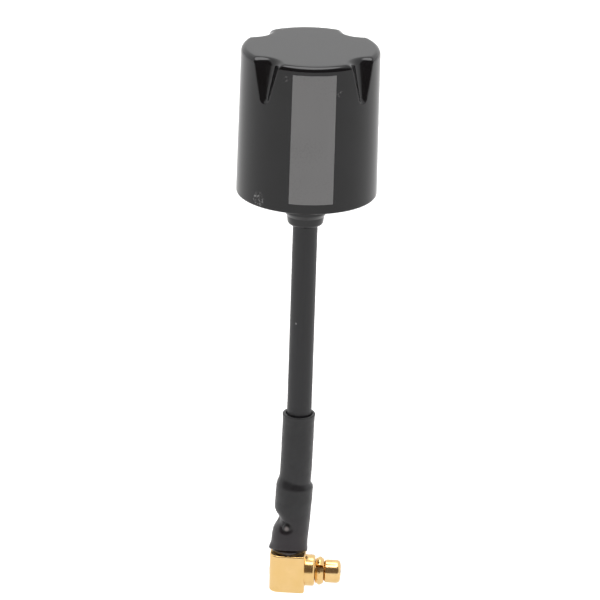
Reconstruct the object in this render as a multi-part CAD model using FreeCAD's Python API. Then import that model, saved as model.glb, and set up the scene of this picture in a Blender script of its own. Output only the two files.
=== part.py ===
import FreeCAD, Part
import math
import os

V = FreeCAD.Vector
ACROSS = V(1, 0, 0)
UP = V(0, 0, 1)
EVERYTHING = 500.0

# All sizes are in millimetres and all angles in degrees. The pieces are drawn with the plug's axis
# along X at z = 0 and the cable leaving the plug upwards at x = 0, and are moved once at the end, so
# that the origin is the middle of the plug's barrel.

# Rigid coaxial cable
CORE_D = 0.51
DIELECTRIC_D = 1.68
BRAID_D = 2.2
JACKET_D = 2.72

# Course of the cable: straight out of the plug, a slight lean, then straight up to the head
LEAN = 4.2
FOOT_BEND_R = 10.0
LEAN_RUN = 6.0
HEAD_BEND_R = 100.0
STEM_LENGTH = 23.7

# Fit of a tube on what it is slipped, crimped or soldered on, per side
FIT = 0.01

# Plug block with its neck
BLOCK_WIDTH = 3.75
BLOCK_DEPTH = 3.75
BLOCK_BEHIND_CABLE = 1.99
BLOCK_ABOVE_AXIS = 2.25
BLOCK_BELOW_AXIS = 2.15
BLOCK_CORNER_R = 1.15
BLOCK_EDGE_R = 0.15
NECK_WALL = 0.52
NECK_HEIGHT = 1.15

# Solder access hole behind the contact, and its cover
ACCESS_D = 1.6
COVER_THICKNESS = 0.4
COVER_SUNK = 0.06

# Plug front, turned in one piece
SPIGOT_D = 2.5
SPIGOT_LENGTH = 0.75
FLANGE_D = 3.55
FLANGE_LENGTH = 1.15
FLANGE_BEVEL = 0.18
GROOVE_D = 2.1
GROOVE_LENGTH = 0.92
BARREL_D = 2.6
BARREL_LENGTH = 1.98
BARREL_NOSE_R = 0.4
BARREL_WALL = 0.48

# Split spring ring in the groove
RING_D = 3.2
RING_WALL = 0.4
RING_LENGTH = 0.8
RING_SIDE_GAP = 0.04
RING_EDGE_WALL = 0.16
RING_SLOT = 0.4
RING_SLOT_ANGLE = 33.0

# Contact and its insulator
PIN_D = 0.4
PIN_TAIL_D = 0.6
PIN_TAIL_LENGTH = 0.9
PIN_SHY_OF_MOUTH = 0.35
INSULATOR_SHY_OF_MOUTH = 1.25
INSULATOR_FROM_CABLE = 0.35
CONTACT_JOINT_D = 1.0

# Depth in the block at which each layer of the cable ends, above the plug's axis
BRAID_FOOT = 1.45
DIELECTRIC_FOOT = 1.05

# Crimped ferrule on the jacket's lower end
FERRULE_ABOVE_DENT = 0.05
FERRULE_LENGTH = 2.7
FERRULE_WALL = 0.27
JACKET_BELOW_FERRULE = 0.2

# Heat-shrink sleeve and the adhesive that runs out at its foot
BEAD_HEIGHT = 0.68
BEAD_WALL = 0.4
SHRINK_LENGTH = 15.95
SHRINK_WALL = 0.38
SHRINK_EASE = 0.02
SHOULDER_LENGTH = 1.3
LIP_LENGTH = 0.9
LIP_FLARE = 0.08
FOOT_FLARE = 0.07
FOOT_SIDE_STEP = 0.1
RING_SPACING = 3.0
DENT_R = 1.6
DENT_WALL = 0.27
DENT_ABOVE_BEAD = 3.3
DENT_ANGLE = 190.0

# Turn of the head's pattern and label about the stem, from square with the plug
HEAD_TURN = 8.0

# Fluted cap
CAP_HEIGHT = 16.55
CAP_MOUTH_D = 15.36
CAP_TOP_D = 15.06
CAP_WALL = 0.9
CAP_ROOF = 1.0
CAP_RIM_R = 0.6
CAP_FOOT_BEVEL = 0.2
FLUTES = 4
FLUTE_WIDTH = 3.5
FLUTE_DEPTH = 1.1
FLUTE_LENGTH = 4.1
FLUTE_TIP_R = 0.75
FLUTE_TIP_DEPTH = 0.35

# Base that closes the cap, with its hub and collar
BASE_LEDGE = 0.4
BASE_THICKNESS = 1.25
BASE_SUNK = 0.25
BASE_GLUE_GAP = 0.03
HUB_WALL = 1.05
HUB_LENGTH = 2.15
HUB_TAPER = 0.5
COLLAR_WALL = 0.7
COLLAR_DRAFT = 0.14
COLLAR_LENGTH = 1.55
COLLAR_END_R = 0.45
POST_WALL = 1.0
POST_HEIGHT = 2.4

# Blank label on the front of the cap
LABEL_ARC = 36.1
LABEL_OFF_MIDDLE = -1.1
LABEL_THICKNESS = 0.06
LABEL_FROM_TOP = 0.91
LABEL_FROM_MOUTH = 1.11

# Antenna element: two printed discs joined by four slanted wires
BOARD_GAP = 0.9
BOARD_THICKNESS = 0.6
BOARD_SPACING = 7.4
TRACK_THICKNESS = 0.07
TRACK_WIDTH = 0.7
TRACK_FROM_EDGE = 0.65
TRACK_ARC = 40.0
TRACK_PAD_D = 1.7
ARMS = 4
WIRE_D = 0.5
WIRE_JOINT_D = 1.0
WIRE_JOINT_HEIGHT = 0.35
BRAID_ABOVE_BOARD = 0.6
BRAID_JOINT_WALL = 0.35
DIELECTRIC_BELOW_BOARD = 0.55
CORE_JOINT_D = 1.1
CORE_JOINT_HEIGHT = 0.4

# Places that follow from the sizes
BLOCK_FRONT = BLOCK_WIDTH - BLOCK_BEHIND_CABLE
FLANGE_FRONT = BLOCK_FRONT + FLANGE_LENGTH
BARREL_ROOT = FLANGE_FRONT + GROOVE_LENGTH
BARREL_MOUTH = BARREL_ROOT + BARREL_LENGTH
NOSE_R = min(BARREL_NOSE_R, 0.85 * BARREL_WALL)
BARREL_MIDDLE = (BARREL_ROOT + BARREL_MOUTH - NOSE_R) / 2
MOUTH_D = BARREL_D - 2 * BARREL_WALL

NECK_TOP = BLOCK_ABOVE_AXIS + NECK_HEIGHT
NECK_D = BRAID_D + 2 * (FIT + NECK_WALL)
FERRULE_D = JACKET_D + 2 * (FIT + FERRULE_WALL)
SHRINK_FOOT = BLOCK_ABOVE_AXIS + BEAD_HEIGHT
SHRINK_TOP = SHRINK_FOOT + SHRINK_LENGTH
DENT_HEIGHT = SHRINK_FOOT + DENT_ABOVE_BEAD
DENT_REACH = BRAID_D / 2 + SHRINK_EASE + DENT_WALL + DENT_R
DENT_HALF = math.sqrt((DENT_R + DENT_WALL) ** 2 - (DENT_REACH - FERRULE_D / 2) ** 2)
FERRULE_FOOT = DENT_HEIGHT + DENT_HALF + FERRULE_ABOVE_DENT
FERRULE_TOP = FERRULE_FOOT + FERRULE_LENGTH

FOOT_BEND_TOP = NECK_TOP + FOOT_BEND_R * math.sin(math.radians(LEAN))
FOOT_BEND_STEP = FOOT_BEND_R * (1 - math.cos(math.radians(LEAN)))
LEAN_TOP = FOOT_BEND_TOP + LEAN_RUN * math.cos(math.radians(LEAN))
LEAN_STEP = FOOT_BEND_STEP + LEAN_RUN * math.sin(math.radians(LEAN))
STEM_FOOT = LEAN_TOP + HEAD_BEND_R * math.sin(math.radians(LEAN))
STEM_X = LEAN_STEP + HEAD_BEND_R * (1 - math.cos(math.radians(LEAN)))

COLLAR_END = STEM_FOOT + STEM_LENGTH
CAP_MOUTH = COLLAR_END + COLLAR_LENGTH + HUB_LENGTH
CAP_TOP = CAP_MOUTH + CAP_HEIGHT
BASE_UNDERSIDE = CAP_MOUTH + BASE_SUNK
BASE_TOP = BASE_UNDERSIDE + BASE_THICKNESS
COLLAR_BORE_D = JACKET_D + 2 * FIT

BOARD_D = min(CAP_MOUTH_D, CAP_TOP_D) - 2 * (CAP_WALL + BOARD_GAP)
TRACK_RING_D = BOARD_D - 2 * TRACK_FROM_EDGE
LOWER_BOARD = BASE_TOP + POST_HEIGHT
LOWER_TRACKS = LOWER_BOARD + BOARD_THICKNESS
WIRE_FOOT = LOWER_TRACKS + TRACK_THICKNESS
WIRE_HEAD = WIRE_FOOT + BOARD_SPACING
TOP_BOARD = WIRE_HEAD + TRACK_THICKNESS


# Basic forms

def post(diameter, low, high, x=0.0):
    """Upright round solid between two heights."""
    return Part.makeCylinder(diameter / 2, high - low, V(x, 0, low))


def bar(diameter, left, right):
    """Level round solid along the plug's axis."""
    return Part.makeCylinder(diameter / 2, right - left, V(left, 0, 0), ACROSS)


def slab(low, high):
    """Everything between two heights."""
    corner = V(-EVERYTHING / 2, -EVERYTHING / 2, low)
    return Part.makeBox(EVERYTHING, EVERYTHING, high - low, corner)


def turned_upright(outline, x):
    """Solid turned about the upright line at x, from corners given as (radius, height)."""
    corners = [V(x + radius, 0, height) for radius, height in outline]
    face = Part.Face(Part.makePolygon(corners + corners[:1]))
    return face.revolve(V(x, 0, 0), UP, 360)


def turned_level(outline):
    """Solid turned about the plug's axis, from corners given as (x, radius)."""
    corners = [V(x, 0, radius) for x, radius in outline]
    face = Part.Face(Part.makePolygon(corners + corners[:1]))
    return face.revolve(V(0, 0, 0), ACROSS, 360)


def rounded(shape, radius, is_chosen):
    """Rounds the edges that the test picks."""
    return shape.makeFillet(radius, [edge for edge in shape.Edges if is_chosen(edge)])


def is_circle(edge, diameter, centre):
    """Whether an edge is a circle of this diameter about this point."""
    curve = edge.Curve
    if not isinstance(curve, Part.Circle):
        return False
    return abs(2 * curve.Radius - diameter) < 1e-4 and (curve.Center - centre).Length < 1e-4


# Course of the cable

def cable_x(height):
    """How far the cable's axis has stepped aside at a height."""
    if height <= NECK_TOP:
        return 0.0
    if height <= FOOT_BEND_TOP:
        return FOOT_BEND_R - math.sqrt(FOOT_BEND_R ** 2 - (height - NECK_TOP) ** 2)
    if height <= LEAN_TOP:
        return FOOT_BEND_STEP + (height - FOOT_BEND_TOP) * math.tan(math.radians(LEAN))
    if height <= STEM_FOOT:
        return STEM_X - HEAD_BEND_R + math.sqrt(HEAD_BEND_R ** 2 - (STEM_FOOT - height) ** 2)
    return STEM_X


def cable_path():
    """Centre line of the cable: straight runs joined by tangent arcs."""
    half_turn = math.radians(LEAN / 2)
    foot_bend_middle = V(FOOT_BEND_R * (1 - math.cos(half_turn)), 0,
                         NECK_TOP + FOOT_BEND_R * math.sin(half_turn))
    head_bend_middle = V(STEM_X - HEAD_BEND_R * (1 - math.cos(half_turn)), 0,
                         STEM_FOOT - HEAD_BEND_R * math.sin(half_turn))
    start = V(0, 0, 0)
    neck = V(0, 0, NECK_TOP)
    lean_start = V(FOOT_BEND_STEP, 0, FOOT_BEND_TOP)
    lean_end = V(LEAN_STEP, 0, LEAN_TOP)
    stem = V(STEM_X, 0, STEM_FOOT)
    end = V(STEM_X, 0, CAP_TOP)
    return Part.Wire([
        Part.LineSegment(start, neck).toShape(),
        Part.Arc(neck, foot_bend_middle, lean_start).toShape(),
        Part.LineSegment(lean_start, lean_end).toShape(),
        Part.Arc(lean_end, head_bend_middle, stem).toShape(),
        Part.LineSegment(stem, end).toShape(),
    ])


def cable_rod(diameter):
    """Round rod along the whole course."""
    section = Part.Wire(Part.makeCircle(diameter / 2, V(0, 0, 0), UP))
    return cable_path().makePipeShell([section], True, False)


def cable_layer(outer, inner, low, high):
    """One tube of the cable, cut off level at two heights."""
    return cable_rod(outer).cut(cable_rod(inner)).common(slab(low, high))


def coax_core():
    return cable_rod(CORE_D).common(slab(PIN_TAIL_D / 2, TOP_BOARD + BOARD_THICKNESS))


def coax_dielectric():
    return cable_layer(DIELECTRIC_D, CORE_D, DIELECTRIC_FOOT, TOP_BOARD - DIELECTRIC_BELOW_BOARD)


def coax_braid():
    return cable_layer(BRAID_D, DIELECTRIC_D, BRAID_FOOT, WIRE_FOOT + BRAID_ABOVE_BOARD)


def coax_jacket():
    return cable_layer(JACKET_D, BRAID_D, FERRULE_FOOT - JACKET_BELOW_FERRULE, LOWER_BOARD)


# Plug

def plug_body():
    """Square block with rounded upright edges, a neck for the cable and the crossing bores."""
    corner = V(-BLOCK_BEHIND_CABLE, -BLOCK_DEPTH / 2, -BLOCK_BELOW_AXIS)
    block = Part.makeBox(BLOCK_WIDTH, BLOCK_DEPTH, BLOCK_ABOVE_AXIS + BLOCK_BELOW_AXIS, corner)
    block = rounded(block, BLOCK_CORNER_R, lambda edge: edge.BoundBox.ZLength > BLOCK_BELOW_AXIS)
    block = rounded(block, BLOCK_EDGE_R, lambda edge: edge.BoundBox.ZLength < 1e-4)
    body = block.fuse(post(NECK_D, 0, NECK_TOP))
    cable_bore = post(BRAID_D + 2 * FIT, BRAID_FOOT, NECK_TOP)
    dielectric_bore = post(DIELECTRIC_D + 2 * FIT, DIELECTRIC_FOOT, BRAID_FOOT)
    core_bore = post(CONTACT_JOINT_D, 0, DIELECTRIC_FOOT)
    access_bore = bar(ACCESS_D, -BLOCK_BEHIND_CABLE, INSULATOR_FROM_CABLE)
    insulator_bore = bar(MOUTH_D, INSULATOR_FROM_CABLE, BLOCK_FRONT)
    spigot_bore = bar(SPIGOT_D, BLOCK_FRONT - SPIGOT_LENGTH, BLOCK_FRONT)
    bores = [cable_bore, dielectric_bore, core_bore, access_bore, insulator_bore, spigot_bore]
    return body.cut(bores)


def plug_cover():
    """Disc pressed into the access hole."""
    outside = -BLOCK_BEHIND_CABLE + COVER_SUNK
    return bar(ACCESS_D, outside, outside + COVER_THICKNESS)


def plug_barrel():
    """Spigot, flange, ring groove and barrel, bored for the insulator."""
    spigot_end = BLOCK_FRONT - SPIGOT_LENGTH
    front = turned_level([
        (spigot_end, MOUTH_D / 2),
        (spigot_end, SPIGOT_D / 2),
        (BLOCK_FRONT, SPIGOT_D / 2),
        (BLOCK_FRONT, FLANGE_D / 2),
        (FLANGE_FRONT - FLANGE_BEVEL, FLANGE_D / 2),
        (FLANGE_FRONT, FLANGE_D / 2 - FLANGE_BEVEL),
        (FLANGE_FRONT, GROOVE_D / 2),
        (BARREL_ROOT, GROOVE_D / 2),
        (BARREL_ROOT, BARREL_D / 2),
        (BARREL_MOUTH, BARREL_D / 2),
        (BARREL_MOUTH, MOUTH_D / 2),
    ])
    nose = V(BARREL_MOUTH, 0, 0)
    return rounded(front, NOSE_R, lambda edge: is_circle(edge, BARREL_D, nose))


def snap_ring():
    """Spring ring with a ridged roof, slit at one side."""
    left = (FLANGE_FRONT + BARREL_ROOT - RING_LENGTH) / 2 + RING_SIDE_GAP
    right = left + RING_LENGTH
    bore_r = RING_D / 2 - RING_WALL
    edge_r = bore_r + RING_EDGE_WALL
    ring = turned_level([
        (left, bore_r),
        (left, edge_r),
        (left + RING_LENGTH * 0.3, RING_D / 2),
        (left + RING_LENGTH * 0.7, RING_D / 2),
        (right, edge_r),
        (right, bore_r),
    ])
    slot = Part.makeBox(RING_LENGTH * 2, RING_D, RING_SLOT, V(left - RING_LENGTH / 2, -RING_D, -RING_SLOT / 2))
    slot.rotate(V(0, 0, 0), ACROSS, -RING_SLOT_ANGLE)
    return ring.cut(slot)


def plug_insulator():
    body = bar(MOUTH_D, INSULATOR_FROM_CABLE, BARREL_MOUTH - INSULATOR_SHY_OF_MOUTH)
    return body.cut(bar(PIN_D, 0, BARREL_MOUTH))


def plug_pin():
    """Contact: a round tail under the cable's core, and a pin with a domed tip."""
    tail = bar(PIN_TAIL_D, INSULATOR_FROM_CABLE - PIN_TAIL_LENGTH, INSULATOR_FROM_CABLE)
    tip = V(BARREL_MOUTH - PIN_SHY_OF_MOUTH, 0, 0)
    pin = bar(PIN_D, 0, tip.x)
    pin = rounded(pin, PIN_D * 0.4, lambda edge: is_circle(edge, PIN_D, tip))
    return tail.fuse(pin).removeSplitter()


def contact_joint():
    """Solder that joins the cable's core to the contact."""
    ball = Part.makeSphere(CONTACT_JOINT_D / 2, V(0, 0, PIN_TAIL_D / 2))
    ball = ball.common(slab(0, DIELECTRIC_FOOT))
    return ball.cut([plug_pin(), plug_insulator(), cable_rod(CORE_D)])


def neck_joint():
    """Fillet of solder round the braid on top of the neck."""
    inner = BRAID_D / 2
    fillet = turned_upright([
        (0, NECK_TOP),
        (inner + NECK_WALL * 0.8, NECK_TOP),
        (inner + NECK_WALL * 0.25, NECK_TOP + NECK_WALL * 0.7),
        (0, NECK_TOP + NECK_WALL * 0.7),
    ], 0)
    return fillet.cut(cable_rod(BRAID_D))


# Sleeves at the foot of the cable

def crimp_ferrule():
    return cable_layer(FERRULE_D, COLLAR_BORE_D, FERRULE_FOOT, FERRULE_TOP)


def sleeve_sections():
    """Inside of the heat-shrink: height, side step off the cable's axis, and radius."""
    neck_r = NECK_D / 2 + SHRINK_EASE
    ferrule_r = FERRULE_D / 2 + SHRINK_EASE
    jacket_r = JACKET_D / 2 + SHRINK_EASE
    shoulder_top = FERRULE_TOP + SHOULDER_LENGTH
    return [
        (SHRINK_FOOT, 0.0, neck_r + FOOT_FLARE),
        (SHRINK_FOOT + 2 * FOOT_FLARE, 0.0, neck_r),
        (NECK_TOP, 0.0, neck_r),
        ((NECK_TOP + FERRULE_FOOT) / 2, FOOT_SIDE_STEP, neck_r),
        (FERRULE_FOOT, 0.0, ferrule_r),
        (FERRULE_TOP, 0.0, ferrule_r),
        (shoulder_top, 0.0, jacket_r),
        (SHRINK_TOP - LIP_LENGTH, 0.0, jacket_r),
        (SHRINK_TOP, 0.0, jacket_r + LIP_FLARE),
    ]


def sleeve_ring(height, side_step, radius):
    centre = V(cable_x(height) + side_step, 0, height)
    return Part.Wire(Part.makeCircle(radius, centre, UP))


def sleeve(wall):
    """Solid inside of the heat-shrink, thickened all round by a wall."""
    sections = sleeve_sections()
    rings = [sleeve_ring(sections[0][0], sections[0][1], sections[0][2] + wall)]
    for start, end in zip(sections, sections[1:]):
        steps = max(1, round((end[0] - start[0]) / RING_SPACING))
        for step in range(1, steps + 1):
            height, side_step, radius = (a + (b - a) * step / steps for a, b in zip(start, end))
            rings.append(sleeve_ring(height, side_step, radius + wall))
    return Part.makeLoft(rings, True, True)


def dent(wall):
    """Ball that presses the sleeve in at one side, down to the braid, thickened by a wall."""
    angle = math.radians(DENT_ANGLE)
    centre = V(cable_x(DENT_HEIGHT) + DENT_REACH * math.cos(angle), DENT_REACH * math.sin(angle), DENT_HEIGHT)
    return Part.makeSphere(DENT_R + wall, centre)


def heat_shrink():
    outside = sleeve(SHRINK_WALL).cut(dent(0))
    inside = sleeve(0).cut(dent(DENT_WALL))
    return outside.cut(inside)


def adhesive_bead():
    """Ring of set adhesive between the block and the sleeve."""
    inner = NECK_D / 2
    bulge = inner + BEAD_WALL
    ring = turned_upright([
        (inner, BLOCK_ABOVE_AXIS),
        (bulge - BEAD_WALL * 0.5, BLOCK_ABOVE_AXIS),
        (bulge - BEAD_WALL * 0.2, BLOCK_ABOVE_AXIS + BEAD_HEIGHT * 0.35),
        (bulge, BLOCK_ABOVE_AXIS + BEAD_HEIGHT * 0.75),
        (bulge - BEAD_WALL * 0.1, SHRINK_FOOT),
        (inner, SHRINK_FOOT),
    ], 0)
    return ring


# Head

def cap_radius(height):
    """Outside of the cap, which narrows a little towards its top."""
    share = (height - CAP_MOUTH) / CAP_HEIGHT
    return (CAP_MOUTH_D + (CAP_TOP_D - CAP_MOUTH_D) * share) / 2


def cap_cone(inset, low, high):
    """The cap's own taper between two heights, set in from its outside."""
    low_r = cap_radius(low) - inset
    high_r = cap_radius(high) - inset
    return Part.makeCone(low_r, high_r, high - low, V(STEM_X, 0, low))


def flute(wall):
    """One conical scoop, deepest at the top of the cap, thickened by a wall."""
    tip_height = CAP_TOP - FLUTE_LENGTH
    top_r = cap_radius(CAP_TOP)
    half_width = FLUTE_WIDTH / 2
    bow = top_r - math.sqrt(top_r ** 2 - half_width ** 2)
    sag = FLUTE_DEPTH - bow
    scoop_r = (half_width ** 2 + sag ** 2) / (2 * sag)
    tip_out = cap_radius(tip_height) + FLUTE_TIP_R - FLUTE_TIP_DEPTH
    course = V(top_r + scoop_r - FLUTE_DEPTH - tip_out, 0, FLUTE_LENGTH)
    overrun = 1.3
    end_r = FLUTE_TIP_R + (scoop_r - FLUTE_TIP_R) * overrun
    base = V(STEM_X + tip_out, 0, tip_height)
    cone = Part.makeCone(FLUTE_TIP_R + wall, end_r + wall, course.Length * overrun, base, course)
    return cone.fuse(Part.makeSphere(FLUTE_TIP_R + wall, base))


def around_head(shape, count, first_angle):
    """Copies of a shape evenly round the head's axis."""
    copies = []
    for index in range(count):
        copy = shape.copy()
        copy.rotate(V(STEM_X, 0, 0), UP, first_angle + index * 360.0 / count)
        copies.append(copy)
    return copies


def radome_cap():
    """Hollow moulded cap: four flutes, an edge rounded all along its top, a rebated mouth for the base."""
    first_flute = 180.0 / FLUTES + HEAD_TURN
    outside = cap_cone(0, CAP_MOUTH, CAP_TOP)
    mouth = V(STEM_X, 0, CAP_MOUTH)
    foot = [edge for edge in outside.Edges if is_circle(edge, CAP_MOUTH_D, mouth)]
    outside = outside.makeChamfer(CAP_FOOT_BEVEL, foot)
    outside = outside.cut(around_head(flute(0), FLUTES, first_flute))
    outside = rounded(outside, CAP_RIM_R, lambda edge: edge.BoundBox.ZMin > CAP_TOP - 1e-3)
    inside = cap_cone(CAP_WALL, CAP_MOUTH, CAP_TOP - CAP_ROOF)
    inside = inside.cut(around_head(flute(CAP_WALL), FLUTES, first_flute))
    rebate = post(base_diameter() + 2 * BASE_GLUE_GAP, CAP_MOUTH, BASE_TOP, STEM_X)
    return outside.cut([inside, rebate])


def base_diameter():
    """Disc that fits the cap's rebate."""
    return 2 * (cap_radius(BASE_TOP) - CAP_WALL + BASE_LEDGE - BASE_GLUE_GAP)


def radome_base():
    """Turned disc with a hub and a narrower collar below, and a post for the boards above."""
    bore_r = COLLAR_BORE_D / 2
    collar_r = bore_r + COLLAR_WALL
    hub_r = bore_r + HUB_WALL
    post_r = bore_r + POST_WALL
    hub_end = CAP_MOUTH - HUB_LENGTH
    base = turned_upright([
        (bore_r, COLLAR_END),
        (collar_r - COLLAR_DRAFT, COLLAR_END),
        (collar_r, hub_end - HUB_TAPER),
        (hub_r, hub_end),
        (hub_r, BASE_UNDERSIDE),
        (base_diameter() / 2, BASE_UNDERSIDE),
        (base_diameter() / 2, BASE_TOP),
        (post_r, BASE_TOP),
        (post_r, LOWER_BOARD),
        (bore_r, LOWER_BOARD),
    ], STEM_X)
    collar_end = V(STEM_X, 0, COLLAR_END)
    end_r = min(COLLAR_END_R, 0.75 * (COLLAR_WALL - COLLAR_DRAFT))
    return rounded(base, end_r, lambda edge: is_circle(edge, 2 * (collar_r - COLLAR_DRAFT), collar_end))


def label():
    """Thin blank label that follows the cap's wall."""
    low = CAP_MOUTH + LABEL_FROM_MOUTH
    high = CAP_TOP - LABEL_FROM_TOP
    corners = [
        V(STEM_X + cap_radius(low), 0, low),
        V(STEM_X + cap_radius(low) + LABEL_THICKNESS, 0, low),
        V(STEM_X + cap_radius(high) + LABEL_THICKNESS, 0, high),
        V(STEM_X + cap_radius(high), 0, high),
    ]
    section = Part.Face(Part.makePolygon(corners + corners[:1]))
    strip = section.revolve(V(STEM_X, 0, 0), UP, LABEL_ARC)
    strip.rotate(V(STEM_X, 0, 0), UP, HEAD_TURN + LABEL_OFF_MIDDLE - 90 - LABEL_ARC / 2)
    return strip


# Antenna element

def board(height, bore):
    disc = post(BOARD_D, height, height + BOARD_THICKNESS, STEM_X)
    return disc.cut(post(bore, height, height + BOARD_THICKNESS, STEM_X))


def top_board():
    return board(TOP_BOARD, CORE_D)


def lower_board():
    return board(LOWER_BOARD, BRAID_D + 2 * FIT)


def track_arm(height, turn):
    """Strip from the middle to the ring, and on along the ring by an arc, to the left or right."""
    ring_r = TRACK_RING_D / 2
    spoke = Part.makeBox(ring_r, TRACK_WIDTH, TRACK_THICKNESS, V(STEM_X, -TRACK_WIDTH / 2, height))
    hole = ring_r - TRACK_WIDTH / 2
    rim = ring_r + TRACK_WIDTH / 2
    arc = Part.makeCylinder(rim, TRACK_THICKNESS, V(STEM_X, 0, height), UP, TRACK_ARC)
    arc = arc.cut(post(2 * hole, height, height + TRACK_THICKNESS, STEM_X))
    if turn < 0:
        arc.rotate(V(STEM_X, 0, 0), UP, -TRACK_ARC)
    return spoke.fuse(arc)


def tracks(height, pad, bore, turn):
    """Copper pattern: a pad with four arms, bored in the middle."""
    copper = post(pad, height, height + TRACK_THICKNESS, STEM_X)
    copper = copper.fuse(around_head(track_arm(height, turn), ARMS, 0))
    copper = copper.cut(post(bore, height, height + TRACK_THICKNESS, STEM_X))
    return copper.removeSplitter()


def top_tracks():
    return tracks(WIRE_HEAD, TRACK_PAD_D, CORE_D, 1)


def lower_tracks():
    return tracks(LOWER_TRACKS, BRAID_D + 2 * (FIT + TRACK_WIDTH), BRAID_D + 2 * FIT, -1)


def ring_point(angle, height):
    """Point over the track's ring."""
    ring_r = TRACK_RING_D / 2
    return V(STEM_X + ring_r * math.cos(math.radians(angle)), ring_r * math.sin(math.radians(angle)), height)


def joint_angle():
    """Where an arm ends, less its half width, so that a wire's joint sits on copper."""
    return TRACK_ARC - math.degrees(TRACK_WIDTH / TRACK_RING_D)


def slant_rod():
    """One wire's axis from the lower arm to the upper arm, run on past both."""
    foot = ring_point(-joint_angle(), WIRE_FOOT)
    head = ring_point(joint_angle(), WIRE_HEAD)
    course = head.sub(foot)
    overrun = course * 0.1
    return Part.makeCylinder(WIRE_D / 2, course.Length * 1.2, foot.sub(overrun), course)


def slant_wire():
    return slant_rod().common(slab(WIRE_FOOT, WIRE_HEAD))


def slant_wires():
    return Part.makeCompound(around_head(slant_wire(), ARMS, 0))


def wire_joints():
    """A cone of solder at each end of each wire."""
    foot = ring_point(-joint_angle(), WIRE_FOOT)
    head = ring_point(joint_angle(), WIRE_HEAD)
    joints = []
    for point, way in ((foot, UP), (head, UP * -1)):
        cone = Part.makeCone(WIRE_JOINT_D / 2, WIRE_D / 2, WIRE_JOINT_HEIGHT, point, way)
        joints.append(cone.cut(slant_rod()))
    copies = []
    for joint in joints:
        copies.extend(around_head(joint, ARMS, 0))
    return Part.makeCompound(copies)


def braid_joint():
    """Ring of solder between the braid and the lower copper."""
    inner = BRAID_D / 2
    return turned_upright([
        (inner, WIRE_FOOT),
        (inner + BRAID_JOINT_WALL, WIRE_FOOT),
        (inner, WIRE_FOOT + BRAID_JOINT_WALL),
    ], STEM_X)


def core_joint():
    """Ring of solder between the core and the upper copper."""
    inner = CORE_D / 2
    return turned_upright([
        (inner, WIRE_HEAD),
        (CORE_JOINT_D / 2, WIRE_HEAD),
        (inner, WIRE_HEAD - CORE_JOINT_HEIGHT),
    ], STEM_X)


PIECES = {
    "plug_body": plug_body,
    "plug_cover": plug_cover,
    "plug_barrel": plug_barrel,
    "snap_ring": snap_ring,
    "plug_insulator": plug_insulator,
    "plug_pin": plug_pin,
    "contact_joint": contact_joint,
    "neck_joint": neck_joint,
    "coax_core": coax_core,
    "coax_dielectric": coax_dielectric,
    "coax_braid": coax_braid,
    "coax_jacket": coax_jacket,
    "crimp_ferrule": crimp_ferrule,
    "adhesive_bead": adhesive_bead,
    "heat_shrink": heat_shrink,
    "radome_base": radome_base,
    "radome_cap": radome_cap,
    "label": label,
    "lower_board": lower_board,
    "lower_tracks": lower_tracks,
    "top_board": top_board,
    "top_tracks": top_tracks,
    "slant_wires": slant_wires,
    "wire_joints": wire_joints,
    "braid_joint": braid_joint,
    "core_joint": core_joint,
}


def main():
    os.makedirs("parts", exist_ok=True)
    for name, make in PIECES.items():
        shape = make()
        shape.translate(V(-BARREL_MIDDLE, 0, 0))
        shape.exportStep("parts/" + name + ".step")


main()
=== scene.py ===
import math

import bmesh
import bpy
from mathutils import Matrix, Vector, noise


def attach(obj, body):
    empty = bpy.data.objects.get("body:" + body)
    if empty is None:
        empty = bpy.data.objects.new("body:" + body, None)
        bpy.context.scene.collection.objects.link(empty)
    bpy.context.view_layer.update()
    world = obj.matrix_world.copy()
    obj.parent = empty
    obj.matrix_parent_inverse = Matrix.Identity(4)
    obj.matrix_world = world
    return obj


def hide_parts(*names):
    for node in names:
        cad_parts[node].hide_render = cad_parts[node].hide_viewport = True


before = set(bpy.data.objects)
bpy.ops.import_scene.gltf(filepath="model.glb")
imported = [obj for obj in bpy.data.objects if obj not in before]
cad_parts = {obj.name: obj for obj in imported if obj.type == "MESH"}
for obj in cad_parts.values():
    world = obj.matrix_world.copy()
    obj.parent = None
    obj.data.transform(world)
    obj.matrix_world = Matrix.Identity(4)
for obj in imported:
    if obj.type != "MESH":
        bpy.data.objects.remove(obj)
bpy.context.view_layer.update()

# Pieces are drawn in millimetres in the part's own frame and brought to metres when they are finished.
MM = 0.001

# Heights and upright axes of the part
STEM_X = -3.885
PLUG_X = -4.62
BLOCK_LOW = -2.15
BLOCK_TOP = 2.25
SLEEVE_FOOT = 2.93
SLEEVE_TOP = 18.88
NECK_TOP = 3.4
JACKET_FOOT = 7.37
JACKET_HEAD = 48.74
COLLAR_END = 41.14
HUB_END = 42.69
CAP_MOUTH = 44.84
CAP_TOP = 61.39

# Places along the plug's axis
BLOCK_BACK = PLUG_X - 1.99
BLOCK_FRONT = PLUG_X + 1.98
FLANGE_FRONT = BLOCK_FRONT + 1.08
BARREL_ROOT = FLANGE_FRONT + 1.07
BARREL_MOUTH = BARREL_ROOT + 1.79

# Turn of the flutes and the label about the stem, from square with the plug
HEAD_TURN = math.radians(8.0)

# Course of the cable between its straight foot and its straight head
LEAN = math.radians(4.2)
FOOT_BEND_R = 10.0
LEAN_RUN = 6.0
HEAD_BEND_R = 100.0

# Angles in degrees about the cable: the side that is seen, the barrel's side, the side where the sleeve's
# shoulder is longest, and the side where the sleeve's outline is drawn before it is turned
VIEWED_FROM = 272.9
BARREL_SIDE = 5.0
SHOULDER_SIDE = 200.0
OUTLINE_SIDE = 290.0

# Marks on the sleeve, as (angle in degrees about the cable, height)
DENT = (193.0, 6.2)
CRATER = (254.4, 5.75)
# Where a painted highlight sits on the crater's floor
CRATER_HIGHLIGHT = (257.4, 5.62)
# Where painted shade marks a pinhole
PINHOLE_SHADE = (228.2, 8.44)
LIP_BULGE = (189.0, 3.1)

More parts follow.
